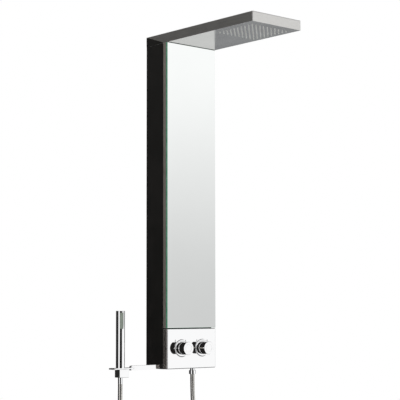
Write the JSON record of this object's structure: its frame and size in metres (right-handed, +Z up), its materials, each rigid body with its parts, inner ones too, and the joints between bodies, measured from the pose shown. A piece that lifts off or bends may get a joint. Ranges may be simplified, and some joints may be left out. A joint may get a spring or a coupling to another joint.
{
  "type": "shower panel column",
  "caption": "Wall-hung shower column with a mirror front, a long flat rain arm, turned knobs on a chrome plate, and a stick hand shower on a side shelf with a hanging hose.",
  "frame": {"origin": "on the wall plane, midway between the two screw holes of the upper wall bracket", "axes": "+Z up the column, -Y out of the wall towards the user, +X to the user's right"},
  "size_m": [0.4043, 0.49, 1.5],
  "materials": {
    "brushed_steel": "brushed along the sheet",
    "black_coat": "satin black powder coat",
    "mirror": "silvered float glass with a green edge",
    "polished_chrome": "polished",
    "steel": "zinc plated",
    "brass": "machined",
    "copper": "drawn tube",
    "white_plastic": "moulded",
    "silicone": "matt translucent grey",
    "foam_tape": "closed-cell foam",
    "hose_metal": "interlocked metal strip"
  },
  "bodies": {
    "column": {"wall_bracket": "steel", "hanger_rail": "steel", "lower_bracket": "steel", "lower_bracket_screw": "steel", "rear_casing": "black_coat", "base_plate": "black_coat", "front_frame": "brushed_steel", "frame_spacers": "steel", "glass_tape": "foam_tape", "mirror_glass": "mirror", "valve_plate": "polished_chrome", "plate_spacers": "steel", "arm_shell": "brushed_steel", "arm_underside": "brushed_steel", "nozzle_mat": "silicone", "spray_chamber": "white_plastic", "chamber_studs": "steel", "arm_brackets": "steel", "arm_screws": "steel", "riser_pipe": "copper", "riser_elbow": "brass", "arm_feed_pipe": "copper", "riser_clips": "steel", "valve_body": "brass", "valve_bracket": "steel", "socket_rings": "brass", "hot_inlet_tail": "brass", "cold_inlet_tail": "brass", "thermostatic_cartridge": "white_plastic", "diverter_cartridge": "white_plastic", "temperature_flange": "polished_chrome", "flow_flange": "polished_chrome", "outlet_tail": "polished_chrome", "outlet_locknut": "brass", "hose_lower_nut": "polished_chrome", "shower_hose": "hose_metal", "holder_bar": "polished_chrome", "holder_bar_screw": "steel", "holder_shelf": "polished_chrome", "holder_block": "polished_chrome"},
    "temperature_control": {"temperature_knob": "polished_chrome", "temperature_spindle": "brass", "temperature_cap": "polished_chrome", "temperature_grub_screw": "steel", "button_spring": "steel"},
    "safety_stop": {"safety_button": "polished_chrome"},
    "flow_control": {"flow_knob": "polished_chrome", "flow_spindle": "brass", "flow_cap": "polished_chrome", "flow_grub_screw": "steel"},
    "hose_end": {"hose_ferrule": "polished_chrome"},
    "handset": {"hose_upper_nut": "brass", "handset_nipple": "brass", "handset_tube": "polished_chrome", "handset_end_cap": "polished_chrome", "handset_spray_face": "silicone"}
  },
  "joints": [
    {"name": "temperature_turn", "type": "hinge", "parent": "column", "child": "temperature_control", "pos_m": [-0.042, -0.107, -0.786], "axis": [0, -1, 0], "range_deg": [-220, 50]},
    {"name": "safety_press", "type": "slide", "parent": "temperature_control", "child": "safety_stop", "axis": [1, 0, 0], "range_m": [0, 0.0012], "stiffness_N_per_m": 800, "springref_m": -0.001, "deforming": ["button_spring"]},
    {"name": "flow_turn", "type": "hinge", "parent": "column", "child": "flow_control", "pos_m": [0.042, -0.107, -0.786], "axis": [0, -1, 0], "range_deg": [-90, 90]},
    {"name": "handset_lift", "type": "slide", "parent": "column", "child": "hose_end", "axis": [0, 0, 1], "range_m": [0, 0.06]},
    {"name": "handset_swivel", "type": "hinge", "parent": "hose_end", "child": "handset", "pos_m": [-0.26, -0.075, -0.826], "axis": [0, 0, 1], "continuous": true}
  ]
}
